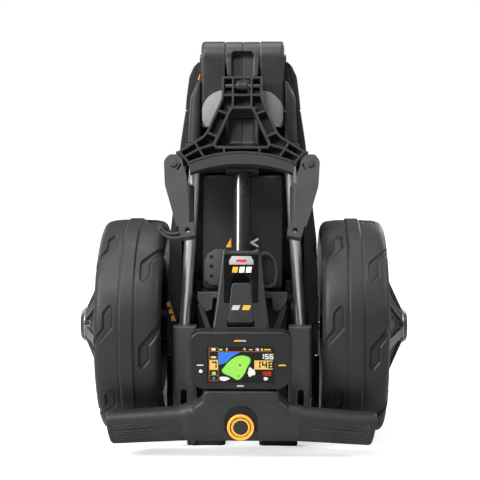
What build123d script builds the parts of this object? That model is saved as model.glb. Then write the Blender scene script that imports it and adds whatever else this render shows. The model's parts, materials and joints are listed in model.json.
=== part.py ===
"""Electric golf trolley, folded and standing on its two rear wheels and two stand feet.

Millimetres, +Z up, X across the trolley, -Y the side that carries the handle when folded.
The origin is under the middle of the folded trolley, on the floor.
Root pieces are drawn with Y measured from the rear axle.
Upper frame, handle and fork pieces are drawn in frames of their own, at their fold hinges.
"""
from build123d import *
import math
import os

# ---- driving dimensions -------------------------------------------------------------
AXLE_Y = -12.0          # rear axle, from the middle of the folded trolley
WHEEL_R = 145.0         # rear tyre, over its centre rib
WHEEL_IN = 102.0        # inner wall of a rear tyre, from the middle plane
TYRE_W = 85.0
HUB_END = 220.0         # outer end of a hub cap
HINGE_Y, HINGE_Z = -40.0, 500.0     # main fold
LEAN = 15.5             # lean of the folded upper frame
GRIP_DROP = 375.7       # main fold to handle fold, along the upper frame
TILT = 6.0              # the folded handle's tilt back towards the chassis
FORK_Y, FORK_Z = 38.0, 62.0         # front fork hinge
FORK_LEAN = 11.5
FORK_LEN = 336.7        # fork hinge to front axle
FRONT_R = 95.0
FRONT_W = 46.0
SHAFT_R = 6.0           # drive axle
RUN = 0.06              # radial clearance of a running fit
MOTOR_Y, MOTOR_Z = -18.0, 98.0
TUBE_R = 11.0           # centre tube
TUBE_TOP, TUBE_LEN = -70.0, 191.5
SIDE_R = 7.5            # side tubes
SIDE_Y = -65.0
CHEEK_IN, CHEEK_OUT = 22.8, 53.7
CHEEK_R = 23.5
CHEEK_FOOT = 412.0
TUB_FRONT, TUB_BACK = -46.0, 6.0
TUB_FOOT, TUB_SEAM, TUB_TOP = 188.0, 434.0, 498.0
BATTERY = ((-52, 52), (-64, 0), (201, 350))
BRACKET = (-34.0, -20.0)            # front and rear face of the bag bracket
BRACKET_PIN = (-27.0, -44.3)
LUG_X = 6.8             # half width of the lug that carries the bracket
ARM_BOLT = (86.0, -147.2)
LEVER_PIN = (-12.2, -346.8)
DISPLAY = (-33.0, -13.0)            # front and rear face of the display housing
DIAL_Z = -92.2
DIAL_R = 16.7
GRIP_IN, GRIP_OUT = 66.0, 166.7

CHASSIS = Pos(0, AXLE_Y, 0)
UPPER = Pos(0, AXLE_Y + HINGE_Y, HINGE_Z) * Rot(-LEAN, 0, 0)
HANDLE = UPPER * Pos(0, 0, -GRIP_DROP) * Rot(LEAN + TILT, 0, 0)
FORK = Pos(0, AXLE_Y + FORK_Y, FORK_Z) * Rot(-FORK_LEAN, 0, 0)

os.makedirs("parts", exist_ok=True)


# ---- small helpers ------------------------------------------------------------------
def block(x, y, z):
    """Box from its ranges on the three axes."""
    size = [b - a for a, b in (x, y, z)]
    middle = [(a + b) / 2 for a, b in (x, y, z)]
    return Pos(*middle) * Box(*size)


def rod(radius, x, y=0.0, z=0.0):
    """Cylinder along X, over the range x."""
    return Pos((x[0] + x[1]) / 2, y, z) * Rot(0, 90, 0) * Cylinder(radius, x[1] - x[0])


def stud(radius, y, x=0.0, z=0.0):
    """Cylinder along Y, over the range y."""
    return Pos(x, (y[0] + y[1]) / 2, z) * Rot(90, 0, 0) * Cylinder(radius, y[1] - y[0])


def outline(points, radius):
    """Closed outline with rounded corners."""
    return make_face(FilletPolyline(*points, radius=radius, close=True))


def slab(face, y):
    """A sketch in X and Z, extruded over the range y."""
    return extrude(Plane.XZ.offset(-y[1]) * face, amount=y[1] - y[0])


def prism(face, x):
    """A sketch in Y and Z, extruded over the range x."""
    return extrude(Plane.YZ.offset(x[0]) * face, amount=x[1] - x[0])


def both(half):
    """The points of a right-hand outline, then their mirror images."""
    return list(half) + [(-x, z) for x, z in reversed(half)]


def other(shape):
    """Mirror image, on the other side of the middle plane."""
    return mirror(shape, about=Plane.YZ)


def rim(shape, axis, end, radius):
    """Round the edges of the face that is last (-1) or first (0) along an axis."""
    return fillet(shape.faces().sort_by(axis)[end].edges(), radius)


def save(name, frame, *shapes):
    """Place the solids of one node in the trolley's frame and write them."""
    solids = [frame * one for one in shapes]
    whole = solids[0] if len(solids) == 1 else Compound(children=solids)
    whole.label = name
    export_step(whole, f"parts/{name}.step")


def pair(name, frame, shape):
    """Write a right-hand piece and its mirror image as two nodes."""
    save(name + "_right", frame, shape)
    save(name + "_left", frame, other(shape))


def twins(name, frame, shape):
    """Write a right-hand piece and its mirror image as two solids of one node."""
    save(name, frame, shape, other(shape))


# ---- chassis: tub, hinge cheeks, covers ---------------------------------------------
def side_line(z):
    """Distance of a side tube's axis from the middle plane at a height."""
    return 75.6 - 0.068 * (z - 154)


def side_rod(radius, low, high):
    ends = [(side_line(z), SIDE_Y, z) for z in (low, high)]
    run = Line(*ends)
    return sweep(Plane(origin=run @ 0, z_dir=run % 0) * Circle(radius), path=run)


def tube_socket():
    """Moulded socket that holds the top of a side tube."""
    socket = block((49.5, 73), (-76, -39.5), (370, 392))
    socket = fillet(socket.edges().filter_by(Axis.Y), 4)
    return socket - side_rod(SIDE_R, 360, 390)


def tub_shell():
    half = [(75, TUB_SEAM), (81, 396), (97, 264), (98, TUB_FOOT)]
    round_off = [2, 90, 90, 12]
    body = slab(outline(both(half), round_off + round_off[::-1]), (TUB_FRONT, TUB_BACK))
    hollow = [(63, TUB_SEAM + 8), (69, 396), (88, 264), (90, TUB_FOOT + 4)]
    body -= slab(outline(both(hollow), [2, 90, 90, 8, 8, 90, 90, 2]), (TUB_FRONT - 2, TUB_BACK - 4))
    return body + tube_socket() + other(tube_socket())


def tub_top_cap():
    half = [(57, TUB_TOP), (64, 491), (70, 478), (74, 448), (75, TUB_SEAM + 0.6)]
    radii = [4, 8, 20, 40, 1]
    cap = slab(outline(both(half), radii + radii[::-1]), (TUB_FRONT, TUB_BACK))
    cheeks = (-CHEEK_OUT - 0.5, CHEEK_OUT + 0.5)
    cap -= block(cheeks, (TUB_FRONT - 1, HINGE_Y + CHEEK_R + 0.5), (TUB_SEAM - 1, TUB_TOP + 1))
    cap -= rod(27, (-24.5, 24.5), HINGE_Y, HINGE_Z)
    cap -= rod(7.5, (-58, 58), HINGE_Y, HINGE_Z)
    return rim(cap, Axis.Y, -1, 3)


def panel_column():
    """Rounded column beside a hinge cheek, tied to the front panel behind it."""
    side = [(54.6, 474), (68, 450), (71.5, 392.2), (54.6, 392.2)]
    column = rim(slab(outline(side, [1, 20, 1, 1]), (-64, TUB_FRONT - 0.2)), Axis.Y, 0, 2)
    return column + block((54.6, 59.5), (TUB_FRONT - 1, -41), (393, 410))


def tub_front_panel():
    half = [(60, 410), (65, 396), (71, 353)]
    panel = slab(outline(both(half), 2), (-42.5, -39.5))
    for side in (1, -1):
        panel -= block(sorted((side * 49, side * 80)), (-43, -39), (369.5, 392.5))
    for z in (365, 380, 395):
        panel -= block((-40, 40), (-43, -41.5), (z, z + 2))
    return panel + panel_column() + other(panel_column())


def hinge_cheek():
    y = (HINGE_Y - CHEEK_R, HINGE_Y + CHEEK_R)
    cheek = block((CHEEK_IN, CHEEK_OUT), y, (CHEEK_FOOT, HINGE_Z))
    cheek += rod(CHEEK_R, (CHEEK_IN, CHEEK_OUT), HINGE_Y, HINGE_Z)
    cheek = rim(cheek, Axis.X, -1, 5)
    cheek -= stud(31, (y[0] - 1, y[0] + 4), CHEEK_IN, 430)
    cheek -= rod(4, (CHEEK_IN - 1, CHEEK_OUT + 1), HINGE_Y, HINGE_Z)
    return cheek


def hinge_pad():
    face = HINGE_Y - CHEEK_R
    dome = 130.0
    pad = stud(30.4, (face - 3, face + 3.9), CHEEK_IN, 430)
    pad &= block((CHEEK_IN + 0.5, CHEEK_OUT - 1.5), (face - 4, face + 4), (CHEEK_FOOT + 1, 462))
    return pad & (Pos(CHEEK_IN, face - 2.6 + dome, 430) * Sphere(dome))


def main_hinge_pin():
    pin = rod(4, (-CHEEK_OUT - 2.5, CHEEK_OUT + 2.5), HINGE_Y, HINGE_Z)
    for x in (-CHEEK_OUT - 2.5, CHEEK_OUT):
        pin += rod(6.5, (x, x + 2.5), HINGE_Y, HINGE_Z)
    return pin


# ---- chassis: tubes, sleeves, stand, fairings ---------------------------------------
def side_tube():
    return side_rod(SIDE_R, 118, 390) - side_rod(SIDE_R - 1.6, 117, 391)


def tube_sleeve():
    sleeve = block((60, 90), (-84, -56.5), (45, 155))
    sleeve = fillet(sleeve.edges().filter_by(Axis.Z), 5)
    leg = outline([(60.2, 60), (89.8, 60), (88, 30), (74, 8), (24, 8), (24, 17), (52, 22), (60, 34)],
                  [1, 1, 10, 5, 2, 4, 10, 8])
    sleeve += slab(leg, (-83, -61))
    sleeve -= side_rod(SIDE_R, 117.9, 157)
    slot = block((72, 80), (-85, -72), (50, 69)) + stud(4, (-85, -72), 76, 69)
    return sleeve - slot


def stand_foot():
    foot = block((22, 72), (-88, -58), (0, 8))
    foot = fillet(foot.edges().filter_by(Axis.Z), 6)
    foot -= block((23, 71), (-87, -59), (6.2, 9))
    bump = Pos(62, -88, 4) * Sphere(4)
    return foot + bump


def side_fairing():
    plate = outline([(80, 300), (85, 300), (91, 262), (98, 228), (99, 140), (94, 100), (93, 56), (80, 52)],
                    [2, 2, 30, 20, 20, 20, 4, 2])
    fairing = slab(plate, (-56, -46.5))
    pod = block((64, 99), (-56, 24), (112, 185))
    pod = fillet(pod.edges().filter_by(Axis.X), 14)
    fairing += pod
    strut = outline([(99, 196), (95, 193), (86, 165), (86, 155), (91, 155), (99.4, 176)], 2)
    fairing += slab(strut, (-61, -54))
    return fairing - rod(15, (60, 100), 0, WHEEL_R)


def cross_bar():
    return rod(8, (-59.9, 59.9), -70, 100) - rod(6.2, (-61, 61), -70, 100)


# ---- battery ------------------------------------------------------------------------
def battery_case():
    case = block(*BATTERY)
    case = fillet(case.edges().filter_by(Axis.Y), 7)
    case = rim(case, Axis.Y, 0, 3)
    inside = [(a + 3, b - 3) for a, b in BATTERY]
    return case - block(*inside)


def battery_cells():
    cells = []
    for level in (206, 273):
        for row in (-44, -22):
            for column in range(-2, 3):
                cells.append(Pos(column * 19.2, row, level + 32.5) * Cylinder(9, 65))
    return cells


def battery_handle():
    y = (-80, -64)
    half = [(30, 248), (46, 237), (47, 205), (42, 200.5)]
    loop = slab(outline(both(half), [12, 12, 5, 3, 3, 5, 12, 12]), y)
    loop -= slab(outline([(24, 236), (25, 212), (-25, 212), (-24, 236)], 7), (y[0] - 1, y[1] + 1))
    return rim(loop, Axis.Y, 0, 4)


def battery_tray():
    tray = block((-58, 58), (-80, 1.5), (192.5, 194.9)) + block((-58, 58), (-80, -76), (192.5, 200))
    tray += block((-50, 50), (-60, 1.5), (194, 201))
    for side in (1, -1):
        tab = [(side * 38, 194), (side * 58, 194), (side * 57, 188), (side * 47, 175), (side * 40, 177)]
        tray += slab(outline(tab, 1.5), (-80, -76))
        bar = [(side * 58, 184), (side * 52, 184), (side * 38, 142), (side * 45, 142)]
        tray += slab(outline(bar, 1), (-76.5, -70))
    return tray


# ---- drive --------------------------------------------------------------------------
def motor_case():
    motor = rod(30, (-46, 30), MOTOR_Y, MOTOR_Z)
    motor = fillet(motor.faces().sort_by(Axis.X)[0].edges(), 4)
    for step in range(12):
        angle = math.radians(30 * step)
        y = MOTOR_Y + 30 * math.cos(angle)
        z = MOTOR_Z + 30 * math.sin(angle)
        motor -= rod(1.6, (-36, 20), y, z)
    return motor - rod(4 + RUN, (10, 31), MOTOR_Y, MOTOR_Z)


def gear_wheel(tip, teeth, width, x0, y, z):
    """Spur gear along X with short teeth that leave working clearance."""
    wheel = rod(tip - 2.2, (x0, x0 + width), y, z)
    tooth_w = math.pi * tip / teeth * 0.8
    for step in range(teeth):
        tooth = Pos(x0 + width / 2, 0, tip - 2.6) * Box(width, tooth_w, 5.0)
        wheel += Pos(0, y, z) * Rot(360 / teeth * step, 0, 0) * tooth
    return wheel


def drive_axle():
    end = HUB_END - 12.5
    shaft = rod(SHAFT_R, (-end, end), 0, WHEEL_R)
    return shaft + gear_wheel(36.6, 36, 9, 40, 0, WHEEL_R)


def motor_pinion():
    pinion = gear_wheel(12.6, 12, 9, 40, MOTOR_Y, MOTOR_Z)
    return pinion + rod(4, (12, 52), MOTOR_Y, MOTOR_Z)


def gearbox_profile(grow):
    """Hull of the two gears' housings in Y and Z."""
    big = Pos(0, WHEEL_R) * Circle(39 + grow)
    small = Pos(MOTOR_Y, MOTOR_Z) * Circle(16 + grow)
    return make_hull(big.edges() + small.edges())


def gearbox_case():
    case = prism(gearbox_profile(3), (34, 53)) - prism(gearbox_profile(0), (37, 54))
    case -= rod(15, (33, 38), 0, WHEEL_R)
    return case - rod(4 + RUN, (33, 38), MOTOR_Y, MOTOR_Z)


def gearbox_cover():
    return prism(gearbox_profile(3), (53, 56)) - rod(15, (52, 57), 0, WHEEL_R)


def axle_tubes():
    left = rod(15, (-101, 37), 0, WHEEL_R) - rod(9, (-102, 38), 0, WHEEL_R)
    right = rod(15, (53, 101), 0, WHEEL_R) - rod(9, (52, 102), 0, WHEEL_R)
    return left, right


def axle_bearing():
    return rod(9, (89, 99), 0, WHEEL_R) - rod(SHAFT_R + RUN, (88, 100), 0, WHEEL_R)


def drive_cover():
    """Front cover of the motor bay, with side returns that let the axle tubes through."""
    wide = 59.5
    cover = block((-wide, wide), (-55, -51), (38, 190))
    cover += block((-wide, wide), (-52, -44), (186, 188))
    for side in (1, -1):
        cover += block(sorted((side * (wide - 2.5), side * wide)), (-52, 8), (64, 184))
    cover = fillet(cover.faces().sort_by(Axis.Y)[0].edges().filter_by(Axis.Z), 2)
    return cover - rod(15, (-70, 70), 0, WHEEL_R)


def chassis_base():
    """Plate behind the motor that carries the front fork's hinge lugs."""
    base = block((-28, 28), (17, 24), (46, 152))
    lug = block((19, 28), (17, FORK_Y), (FORK_Z - 12, FORK_Z + 12))
    lug += rod(12, (19, 28), FORK_Y, FORK_Z)
    base += lug + other(lug)
    return base - rod(4, (-30, 30), FORK_Y, FORK_Z)


def front_hinge_pin():
    pin = rod(4, (-31, 31), FORK_Y, FORK_Z)
    return pin + rod(6.5, (-31, -28), FORK_Y, FORK_Z) + rod(6.5, (28, 31), FORK_Y, FORK_Z)


# ---- upper frame, in the frame of the main fold --------------------------------------
def knuckle_half():
    """One half of the hinge knuckle, with half of the lug that carries the bag bracket."""
    shank = block((0.15, 20), (-12, 14), (-82, 0)) + block((0.15, 20), (-22.6, -12), (-29, 0))
    shank = fillet(shank.edges().filter_by(Axis.Z).group_by(Axis.X)[-1], 2)
    half = rod(23, (0.15, 22.3)) + shank
    half -= slab(outline([(-14.5, -32), (-14.5, 4), (14.5, 4), (14.5, -32)], [1, 5, 5, 1]), (-24, -13))
    half += rod(6, (0.15, LUG_X), *BRACKET_PIN) + block((0.15, LUG_X), (BRACKET_PIN[0], -12), (-50.3, -44.5))
    half -= Pos(0, 0, -76) * Cylinder(TUBE_R, 12)
    return half - rod(4 + RUN, (-1, 23)) - rod(3 + RUN, (-1, 8), *BRACKET_PIN)


def collar_half():
    """One half of the clamshell collar round the centre tube."""
    half = block((0.15, 21), (-14.5, 14), (-152, -83))
    half = fillet(half.edges().filter_by(Axis.Z).group_by(Axis.X)[-1], 9)
    flange = block((0.15, 21.6), (-16.5, 15), (-118.5, -114.5))
    half += fillet(flange.edges().filter_by(Axis.Z).group_by(Axis.X)[-1], 9.5)
    half = fillet(half.faces().sort_by(Axis.Z)[-1].edges().group_by(Axis.X)[-1], 3)
    return half - Pos(0, 0, -118) * Cylinder(TUBE_R, 80)


def centre_tube():
    tube = Cylinder(TUBE_R, TUBE_LEN) - Cylinder(TUBE_R - 1.6, TUBE_LEN + 1)
    return Pos(0, 0, TUBE_TOP - TUBE_LEN / 2) * tube


def lever_housing():
    half = [(16, -255), (23.4, -248.5), (25, -264), (30.5, -318), (36, -358)]
    side = outline(both(half), [5, 4, 12, 40, 7, 7, 40, 12, 4, 5])
    housing = slab(side, (-18, 15))
    housing = rim(rim(housing, Axis.Y, 0, 3.5), Axis.Y, -1, 3.5)
    foot = block((-25, 25), (-11.5, 11.5), (-GRIP_DROP, -355)) + rod(11.5, (-25, 25), 0, -GRIP_DROP)
    housing += foot
    housing -= Pos(0, 0, -254) * Cylinder(TUBE_R, 16)
    window = [(12.6, -296), (17.6, -352), (-17.6, -352), (-12.6, -296)]
    housing -= slab(outline(window, 2), (-19, -5)) + stud(12.6, (-19, -5), 0, -296)
    housing -= block((-21.4, 21.4), (-19, -17), (-322, -260.5))
    housing -= rod(1.5 + RUN, (-21.4, 21.4), *LEVER_PIN)
    return housing - rod(4 + RUN, (-26, 26), 0, -GRIP_DROP)


def housing_inlay():
    """Gloss panel round the top of the lever, with the grey label strip above it."""
    panel = block((-21.2, 21.2), (-18.4, -17), (-321.8, -260.7))
    window = [(12.8, -296), (15.6, -324), (-15.6, -324), (-12.8, -296)]
    return panel - slab(outline(window, 1), (-20, -16)) - stud(12.8, (-20, -16), 0, -296)


def release_lever():
    """Tongue that pivots at its foot; fingers reach over its top edge."""
    plate = [(11.9, -296.5), (16.8, -347), (-16.8, -347), (-11.9, -296.5)]
    lever = slab(outline(plate, [5, 4, 4, 5]), (-18.6, -12))
    lever = rim(lever, Axis.Y, 0, 1.5)
    lever += rod(3.2, (-16.4, 16.4), *LEVER_PIN)
    return lever + rod(1.5, (-21, 21), *LEVER_PIN)


# ---- bag bracket, in the frame of the main fold --------------------------------------
def rib(start, end, width, y):
    """Straight wall between two points in X and Z."""
    dx, dz = end[0] - start[0], end[1] - start[1]
    middle = ((start[0] + end[0]) / 2, (start[1] + end[1]) / 2)
    turn = math.degrees(math.atan2(dz, dx))
    return slab(Pos(*middle) * Rot(0, 0, turn) * Rectangle(math.hypot(dx, dz), width), y)


def bracket_ribs(y):
    walls = [rib((-26, -58), (26, -58), 2.4, y), rib((-18, -75), (18, -75), 2.4, y)]
    node = (54.3, -128.5)
    runs = [((11.8, -33), (11.8, -76)), ((29.5, -78.4), (17, -83.5)), ((43.2, -107.1), (31, -112.7)),
            ((72.5, -139), node), (node, (35.3, -122.8)), ((59, -120.5), node), (node, (47.9, -137.9)),
            ((22.2, -126), (22.2, -140))]
    for start, end in runs:
        for side in (1, -1):
            walls.append(rib((side * start[0], start[1]), (side * end[0], end[1]), 2.4, y))
    whole = walls[0]
    for wall in walls[1:]:
        whole += wall
    return whole


def bracket_outline():
    """Outer outline: flanks that widen into wings, closed below by a shallow arch."""
    half = [(25.8, -33.5), (26, -62), (46.5, -110), (81, -132), (66.8, -148)]
    radii = [1.5, 30, 25, 1, 1]
    return outline(both(half), radii + radii[::-1]) - Pos(0, -306.5) * Circle(172)


def bag_bracket():
    front, rear = BRACKET
    full = bracket_outline()
    floor = rear - 4.5
    plate = slab(full, BRACKET)
    window = outline([(12.6, -76), (34.7, -125), (-34.7, -125), (-12.6, -76)], [5, 3, 3, 5])
    wall = slab(offset(window, 3), (front - 1, rear + 1))
    pockets = slab(offset(full, -2.8), (front - 1, floor))
    pockets -= wall
    pockets -= bracket_ribs((front - 2, floor + 1))
    plate -= pockets
    plate -= slab(window, (front - 1, rear + 1))
    plate -= block((-8.6, 8.6), (front - 1, rear + 1), (-54, -36.5))
    plate -= block((-8.6, 8.6), (front + 3, rear + 1), (-37, -32))
    lugs = block((78, 95.5), (-20, -13), (-158, -132))
    lugs = fillet(lugs.edges().filter_by(Axis.Y), 6) + block((62, 84), (-20, -13), (-146, -128))
    plate += lugs + other(lugs)
    for side in (1, -1):
        plate -= stud(3, (rear - 5, rear + 8), side * ARM_BOLT[0], ARM_BOLT[1])
        plate -= stud(12.8, (front - 1, rear - 0.01), side * ARM_BOLT[0], ARM_BOLT[1])
    return plate - rod(3, (-22, 22), *BRACKET_PIN)


def cradle_pad():
    upper = ThreePointArc((-66, -149), (0, -135.1), (66, -149))
    lower = ThreePointArc((65, -159.8), (0, -148), (-65, -159.8))
    ends = Line(upper @ 1, lower @ 0) + Line(lower @ 1, upper @ 0)
    return slab(make_face(upper + lower + ends), (-34.5, -18.8))


def arm_bolt():
    x, z = ARM_BOLT
    head = slab(Pos(x, z) * RegularPolygon(4.8, 6), (-35.6, -33.1))
    return head + stud(3, (-33.2, -13), x, z)


def arm_end():
    """Turned block at the end of an arm, which takes the bag strap."""
    corners = [(59.3, -221.5), (78.5, -227.7), (74, -242.6), (56.8, -239.1)]
    return slab(outline(corners, 1.5), (-34, -10))


def bag_arm():
    x, z = ARM_BOLT
    y = (-33, -20.4)
    blade = outline([(98, z), (96.4, -175), (90.5, -195), (80.8, -228.2), (64.8, -223.3), (66, -195),
                     (69.8, -160), (74.4, z)], [1, 30, 30, 2, 2, 30, 8, 1])
    arm = slab(blade, y) + stud(12, y, x, z)
    flange = Polygon((65.4, -31), (60.5, -8), (64, -8), (69, -31), align=None)
    arm += extrude(Pos(0, 0, -224) * flange, amount=52, dir=(0, 0, 1))
    arm += arm_end()
    arm -= stud(3.2, (-35, -9), 67, -232.5)
    crescent = Pos(x, z) * (Circle(10.2) - Circle(7.8)) & Pos(x - 9, z - 6) * Rectangle(9, 12)
    arm -= slab(crescent, (y[0] - 1, y[0] + 3))
    return arm - stud(3 + RUN, (-36, -6), x, z)


def strap_hook():
    """Two shallow curved bars that keep the bag strap, on the left arm."""
    upper = ThreePointArc((-74, -233.4), (-91, -236.2), (-101.8, -226.8))
    lower = ThreePointArc((-70, -238.4), (-89, -241.4), (-101.2, -232.8))
    y = (-33, -22)
    hook = slab(make_face(offset(upper, 1.5)), y) + slab(make_face(offset(lower, 1.5)), y)
    hook += block((-104.4, -100.8), y, (-233.5, -226.3))
    return hook - other(arm_end())


# ---- handle, in the frame of the handle fold -----------------------------------------
def handle_body():
    y = (-32.5, -2)
    section = Plane(origin=(-GRIP_IN, -16, -92.6), x_dir=(0, 1, 0), z_dir=(1, 0, 0))
    body = extrude(section * RectangleRounded(34, 43.2, 15), amount=2 * GRIP_IN)
    half = [(45.5, -46.5), (47.5, -60), (64, -80), (40, -96)]
    neck = slab(outline(both(half), [6, 14, 8, 6, 6, 8, 14, 6]), y)
    body += rim(neck, Axis.Y, 0, 4)
    plate = block((-40, 40), (-13, -3), (-52, -13.6))
    ear = block((25.6, 36), (-11, 11), (-46.4, 0)) + rod(11, (25.6, 36))
    ear += block((25.6, 36), (-13, 0), (-30, -10))
    body += plate + ear + other(ear)
    for side in (1, -1):
        end = side * GRIP_IN
        core = Pos(end + side * 46, -16, -95) * Rot(0, 90 + side * 4, 0) * Cylinder(10, 96)
        body += core
    body -= stud(17.2, (-40, -26), 0, DIAL_Z)
    body -= stud(3 + RUN, (-28, -16), 0, DIAL_Z)
    return body + rod(4, (-36, 36))


def grip():
    height, depth = 21.6, 17.0
    inner = Plane(origin=(GRIP_IN + 0.3, -16, -92.6), x_dir=(0, 1, 0), z_dir=(1, 0, 0))
    outer = Plane(origin=(GRIP_OUT, -16, -99.6), x_dir=(0, 1, 0), z_dir=(1, 0, -0.23))
    first = inner * RectangleRounded(2 * depth, 2 * height, 15)
    last = outer * RectangleRounded(2 * depth - 4, 2 * height - 3, 14)
    body = loft([first, last])
    core = Pos(GRIP_IN + 46, -16, -95) * Rot(0, 94, 0) * Cylinder(10.0, 96)
    body = rim(body, Axis.X, -1, 4)
    return body - core


def display_housing():
    face = outline([(62.5, 28.5), (62.5, -44.5), (-62.5, -44.5), (-62.5, 28.5)], [13, 19, 19, 13])
    housing = rim(slab(face, DISPLAY), Axis.Y, 0, 3)
    return housing - block((-41, 41), (-34, -30.5), (-34.8, 10.8))


def display_screen():
    return block((-40.6, 40.6), (-32.4, -30.5), (-34.4, 10.4))


def dial_surround():
    arch = Pos(0, -85.6) * Circle(20.6) + Pos(0, -91) * Rectangle(41.2, 10.8)
    return slab(arch - Pos(0, DIAL_Z) * Circle(17.4), (-34.2, -33))


def dial_knob():
    knob = stud(DIAL_R, (-34.5, -26.4), 0, DIAL_Z) - stud(8.9, (-35, -30), 0, DIAL_Z)
    knob -= stud(DIAL_R + 1, (-35, -33.4), 0, DIAL_Z) - stud(13.1, (-36, -32), 0, DIAL_Z)
    knob -= stud(11.9, (-35, -33.4), 0, DIAL_Z) - stud(9.2, (-36, -33.4), 0, DIAL_Z)
    return knob + stud(3, (-27, -17), 0, DIAL_Z)


def dial_rings():
    outer = stud(DIAL_R, (-36.2, -33.4), 0, DIAL_Z) - stud(13.2, (-37, -33), 0, DIAL_Z)
    inner = stud(11.8, (-35.6, -33.4), 0, DIAL_Z) - stud(9.3, (-37, -33), 0, DIAL_Z)
    return rim(outer, Axis.Y, 0, 0.8), inner


def dial_button():
    return rim(stud(8.5, (-36, -32.6), 0, DIAL_Z), Axis.Y, 0, 1)


# ---- wheels -------------------------------------------------------------------------
def turned(points, y, z):
    """Solid of revolution about an axis along X, from an outline of (x, radius)."""
    face = Plane(origin=(0, 0, 0), x_dir=(1, 0, 0), z_dir=(0, 1, 0)) * Polygon(
        *[(x, -r) for x, r in points], align=None)
    return Pos(0, y, z) * revolve(face, axis=Axis.X)


def rear_tyre():
    middle = WHEEL_IN + TYRE_W / 2
    half = [(9, 145), (9.6, 143), (30, 141.6), (38, 138), (42, 131), (42.5, 118), (40, 104), (36, 99)]
    outer = [(middle - x, r) for x, r in reversed(half)] + [(middle + x, r) for x, r in half]
    hollow = [(middle - 33, 98), (middle - 35, 120), (middle - 28, 133), (middle + 28, 133),
              (middle + 35, 120), (middle + 33, 98)]
    return turned(outer, 0, WHEEL_R) - turned(hollow, 0, WHEEL_R)


def rear_rim():
    """Rim band, drive disc and hub tube; its inner side is open."""
    x0, x1 = WHEEL_IN + 4.5, WHEEL_IN + TYRE_W - 4.5
    band = [(x0, 98.8), (x1, 98.8), (x1, 93), (x1 - 8, 91), (x0 + 3, 91), (x0, 94)]
    bore = SHAFT_R + RUN
    disc = [(150, 92), (154, 92), (154, 19), (150, 19)]
    hub = [(WHEEL_IN + 1, 20), (205.8, 20), (205.8, bore), (WHEEL_IN + 1, bore)]
    return turned(band, 0, WHEEL_R) + turned(disc, 0, WHEEL_R) + turned(hub, 0, WHEEL_R)


def spoke():
    """One spoke of the outer face, from the hub out to the rim band."""
    side = Polygon((204, 22), (214, 22), (181, 92.8), (173, 92.8), align=None)
    profile = Plane(origin=(0, 6.5, 0), x_dir=(1, 0, 0), z_dir=(0, -1, 0)) * side
    return extrude(profile, amount=13)


def wheel_cover():
    """Outer face of a wheel: a cone with seven raised spokes and the hub cap."""
    cone = [(170, 90.8), (175, 90.8), (208, 21), (208, 7), (206, 7), (206, 20.2), (202, 20.2)]
    cover = turned(cone, 0, WHEEL_R)
    for step in range(7):
        cover += Pos(0, 0, WHEEL_R) * Rot(360 / 7 * step, 0, 0) * spoke()
    cap = [(206, 23.5), (214.5, 23.5), (HUB_END, 19), (HUB_END, 9.2), (208.5, 9.2), (208.5, 7), (206, 7)]
    cover &= rod(90.8, (160, HUB_END), 0, WHEEL_R)
    return cover + turned(cap, 0, WHEEL_R)


def wheel_button():
    button = rod(8.9, (212, HUB_END - 0.4), 0, WHEEL_R)
    return rim(button, Axis.X, -1, 1)


# ---- front fork, in the frame of its hinge --------------------------------------------
def front_fork():
    beam = block((-13, 13), (-9, 9), (0, 212))
    beam = fillet(beam.edges().filter_by(Axis.Z), 5)
    beam += rod(11, (-18.6, 18.6))
    beam += fillet(block((-36, 36), (-11, 11), (204, 224)).edges().filter_by(Axis.X), 4)
    blade = block((28.5, 36), (-11, 11), (216, FORK_LEN)) + rod(11, (28.5, 36), 0, FORK_LEN)
    beam += blade + other(blade)
    beam -= rod(4, (-40, 40), 0, FORK_LEN)
    return beam - rod(4 + RUN, (-20, 20))


def lower_cradle():
    """Curved support for the foot of the bag."""
    face = ThreePointArc((-58, -33), (0, -12), (58, -33))
    band = extrude(Pos(0, 0, 130) * make_face(offset(face, 2.5)), amount=36)
    return band + block((-12, 12), (-11, -9), (130, 166))


def cradle_liner():
    face = ThreePointArc((-56, -36.8), (0, -15.8), (56, -36.8))
    return extrude(Pos(0, 0, 133) * make_face(offset(face, 1.2)), amount=30)


def front_tyre():
    half = [(0, FRONT_R), (14, 93.5), (20, 89), (FRONT_W / 2, 82), (21, 72), (17, 68.5)]
    outer = [(-x, r) for x, r in reversed(half[1:])] + half
    return turned(outer, 0, FORK_LEN)


def front_rim():
    """Rim band and hub, closed by a disc on each side."""
    bore = 4 + RUN
    rim_band = [(-19, 68.3), (19, 68.3), (19, 63), (-19, 63)]
    hub = [(-25, 14), (25, 14), (25, bore), (-25, bore)]
    wheel = turned(rim_band, 0, FORK_LEN) + turned(hub, 0, FORK_LEN)
    for x in (-13, 9):
        wheel += turned([(x, 64), (x + 4, 64), (x + 4, 13), (x, 13)], 0, FORK_LEN)
    return wheel


def front_axle():
    axle = rod(4, (-39, 39), 0, FORK_LEN)
    return axle + rod(7, (-39, -36), 0, FORK_LEN) + rod(7, (36, 39), 0, FORK_LEN)


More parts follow.
